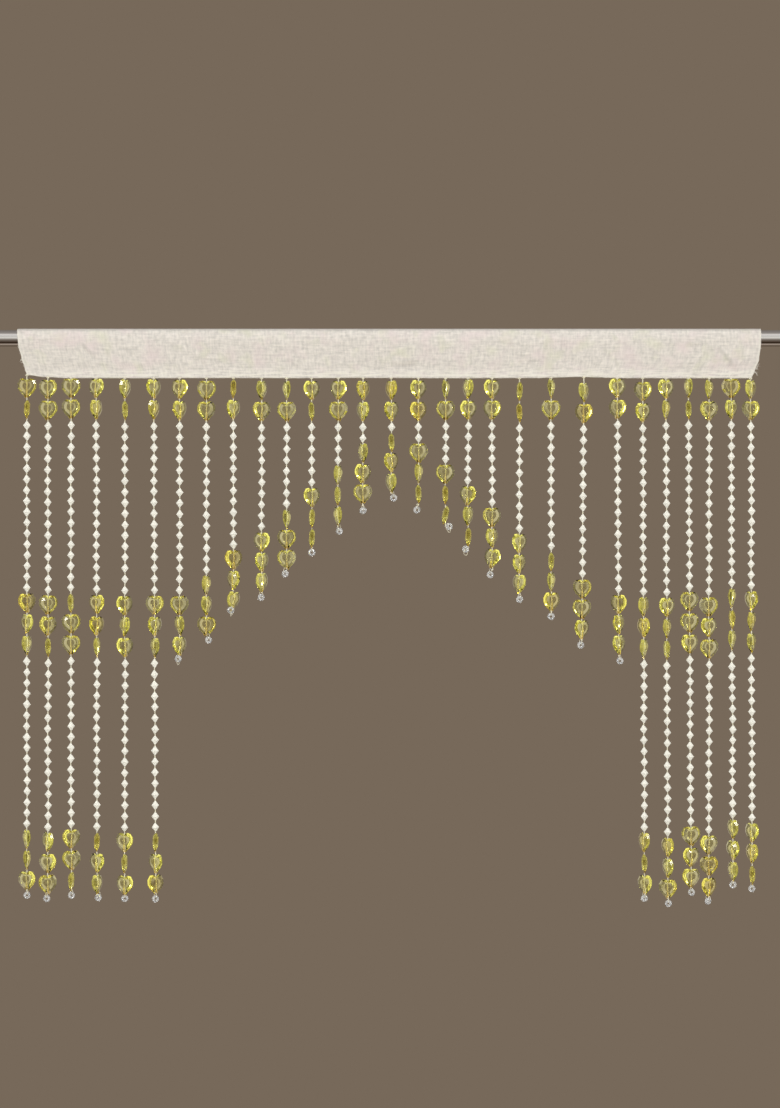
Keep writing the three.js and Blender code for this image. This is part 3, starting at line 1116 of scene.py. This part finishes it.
class HeadingOperator(bpy.types.Operator):
    """Folds the cloth heading over the rod"""

    bl_idname = "bead_curtain.heading"
    bl_label = "Heading"

    def execute(self, context):
        sizes, colours, _ = curtain_settings(context)
        mesh, flat_length = heading_mesh()
        heading = add_piece("heading_cloth", mesh, linen_material(colours))
        wall = heading.modifiers.new("cloth thickness", "SOLIDIFY")
        wall.thickness = sizes.cloth
        wall.offset = 0
        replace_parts(heading, "heading")
        self.stitches(sizes, colours)
        self.hem_knots(sizes, colours)
        self.frays(colours)
        return {"FINISHED"}

    def stitches(self, sizes, colours):
        """The rows of stitches along the hem band, front and back."""
        pitch = sizes.stitch + sizes.stitch_gap
        reach = HALF_LENGTH - STITCH_INSET
        places = []
        for row, (height, side) in enumerate(STITCH_ROWS):
            draw = random.Random(40 + row)
            for i in range(int(2 * reach / pitch) + 1):
                x = -reach + i * pitch + uneven(draw, STITCH_SLIP)
                z = height + uneven(draw, STITCH_WANDER)
                across = hang(x, 0, z).x
                out = BAND_GAP + band_bulge(across, z) + billow(across, z, side) + sizes.cloth / 2
                here, there = (hang(at, side * out, z) for at in (x, x + MM))
                turn = (there - here).to_track_quat("X", "Z").to_matrix().to_4x4()
                places.append(Matrix.Translation(here) @ turn)
        mesh = joined("hem_stitches", stitch_mesh(sizes), places)
        return add_piece("hem_stitches", mesh, cord_material("sewing_thread", colours.stitch))

    def hem_knots(self, sizes, colours):
        """The small knots that stop each string at the hem's edge."""
        places = []
        for plan in PLANS:
            edge = HEM - between(HEM_WAVES, "x", plan.string.x, "drop")
            place = plan.at(edge + HEM_KNOT_RISE)
            places.append(Matrix.Translation(place) @ Matrix.Diagonal(HEM_KNOT_SHAPE))
        mesh = joined("hem_knots", knot_mesh(sizes), places)
        return add_piece("hem_knots", mesh, cord_material("hem_knot_cord", colours.thread))

    def frays(self, colours):
        """Loose fibres at the heading's cut ends, most of them low on the right."""
        draw = random.Random(11)
        curve = new_curve("frays", FIBRE_WIDTH, steps=3)
        for count, side, low, high, reach in FRAYS:
            for _ in range(count):
                z = draw.uniform(low, high)
                edge = between(ENDS, "z", z, "left" if side < 0 else "right")
                start = hang(side * (HALF_LENGTH - 0.5 * MM), draw.choice((-1, 1)) * 0.4 * MM, z)
                start.x = side * (edge - 0.4 * MM)
                start.y += self.layer(z) * draw.choice((-1, 1))
                out = draw.uniform(*FIBRE_OUT) * reach
                fall = draw.uniform(*FIBRE_FALL) * out
                sag = Vector((0, uneven(draw, 0.6) * MM, uneven(draw, 0.8) * MM))
                end = start + Vector((side * out, uneven(draw, 0.8) * MM, fall))
                add_spline(curve, [start, start.lerp(end, 0.4) + sag, end])
        holder = bpy.data.objects.new("frays", curve)
        mesh = bpy.data.meshes.new_from_object(holder)
        bpy.data.objects.remove(holder)
        bpy.data.curves.remove(curve)
        mesh.materials.clear()
        return add_piece("frayed_ends", mesh, cord_material("loose_fibre", colours.band))

    def layer(self, z):
        """How far a layer of the heading is from its middle plane at a height under the rod."""
        share = min(max((z - HEM_BAND) / -HEM_BAND, 0), 1)
        return BAND_GAP + (ROD_RADIUS + FOLD_EASE - BAND_GAP) * share


class HeartsOperator(bpy.types.Operator):
    """Threads the clear yellow hearts"""

    bl_idname = "bead_curtain.hearts"
    bl_label = "Hearts"

    def execute(self, context):
        sizes, colours, _ = curtain_settings(context)
        material, template = heart_material(colours), heart_mesh(sizes)
        draw = random.Random(5)
        for plan in PLANS:
            places, tints = [], []
            for i, (height, turn) in enumerate(zip(plan.hearts, plan.heart_turns())):
                lean = LEANING_HEARTS.get((plan.place, i), 0) + uneven(draw, HEART_LEAN)
                here = plan.at(height) + Vector((0, 0, uneven(draw, HEART_SLIP)))
                places.append(Matrix.Translation(here) @ spun(lean, "Y") @ spun(turn, "Z"))
                tints.append(draw.random() ** 4 * GOLDEN_MOST)
            add_beads(plan, "hearts", template, places, material, tints)
        return {"FINISHED"}


class IvoryBeadsOperator(bpy.types.Operator):
    """Threads the ivory beads"""

    bl_idname = "bead_curtain.ivory_beads"
    bl_label = "Ivory beads"

    def execute(self, context):
        sizes, colours, _ = curtain_settings(context)
        material = ivory_material(colours)
        template = turned_bead(
            "ivory", IVORY_SECTION, sizes.ivory_width / 2, sizes.ivory_height / 2, IVORY_SIDES
        )
        draw = random.Random(3)
        for plan in PLANS:
            places = []
            for height in plan.ivory:
                here = plan.at(height + uneven(draw, IVORY_SLIP))
                tilt = spun(uneven(draw, IVORY_TILT), "Y")
                turn = Matrix.Rotation(draw.uniform(0, math.pi), 4, "Z")
                size = Matrix.Diagonal((*[draw.uniform(*IVORY_SIZES)] * 3, 1))
                places.append(Matrix.Translation(here) @ tilt @ turn @ size)
            add_beads(plan, "ivory", template, places, material)
        return {"FINISHED"}


class EndBeadsOperator(bpy.types.Operator):
    """Hangs a clear ring-shaped bead from the foot of each thread"""

    bl_idname = "bead_curtain.end_beads"
    bl_label = "End beads"

    def execute(self, context):
        sizes, colours, _ = curtain_settings(context)
        material = clear_material(colours)
        ring = turned_bead(
            "ring", END_BEAD_SECTION, sizes.end_bead_width / 2, sizes.end_bead_depth / 2, END_BEAD_SIDES
        )
        upright = spun(90, "X")
        for plan in PLANS:
            place = Matrix.Translation(plan.bead_middle()) @ plan.bead_frame() @ upright
            add_beads(plan, "end_bead", ring, [place], material)
        return {"FINISHED"}


class KnotsOperator(bpy.types.Operator):
    """Ties each thread at its end bead"""

    bl_idname = "bead_curtain.knots"
    bl_label = "Knots"

    def execute(self, context):
        sizes, colours, _ = curtain_settings(context)
        material, template = cord_material("knot_cord", colours.thread), knot_mesh(sizes)
        for plan in PLANS:
            points, knot = thread_route(plan, sizes)
            add_beads(plan, "knot", template, [Matrix.Translation(knot)], material)
            bpy.data.objects[plan.name("thread")]
            plan.at(HEM)
            [plan.name(part) for part in ("hearts", "ivory", "end_bead", "knot")]
        return {"FINISHED"}


OPERATORS = (
    StageOperator, ThreadsOperator, RodOperator, HeadingOperator, HeartsOperator,
    IvoryBeadsOperator, EndBeadsOperator, KnotsOperator,
)


class CurtainPanel(bpy.types.Panel):
    """Lists the curtain's sizes and colours, and the steps that make it"""

    bl_idname = "VIEW3D_PT_bead_curtain"
    bl_label = "Bead Curtain"
    bl_space_type = "VIEW_3D"
    bl_region_type = "UI"
    bl_category = "Curtain"

    def draw(self, context):
        for settings in curtain_settings(context):
            box = self.layout.box()
            for name in settings.bl_rna.properties.keys():
                if name not in ("rna_type", "name"):
                    box.prop(settings, name)
        for operator in OPERATORS:
            self.layout.operator(operator.bl_idname)


CLASSES = (CurtainSizes, CurtainColours, CurtainStage, *OPERATORS, CurtainPanel)
SETTINGS = {
    "curtain_sizes": CurtainSizes, "curtain_colours": CurtainColours, "curtain_stage": CurtainStage
}


def register():
    for made in CLASSES:
        bpy.utils.register_class(made)
    for name, settings in SETTINGS.items():
        setattr(bpy.types.Scene, name, PointerProperty(type=settings))


def unregister():
    for name in SETTINGS:
        delattr(bpy.types.Scene, name)
    for made in reversed(CLASSES):
        bpy.utils.unregister_class(made)


def main():
    register()
    for operator in OPERATORS:
        getattr(bpy.ops.bead_curtain, operator.bl_idname.split(".")[1])()


if __name__ == "__main__":
    main()
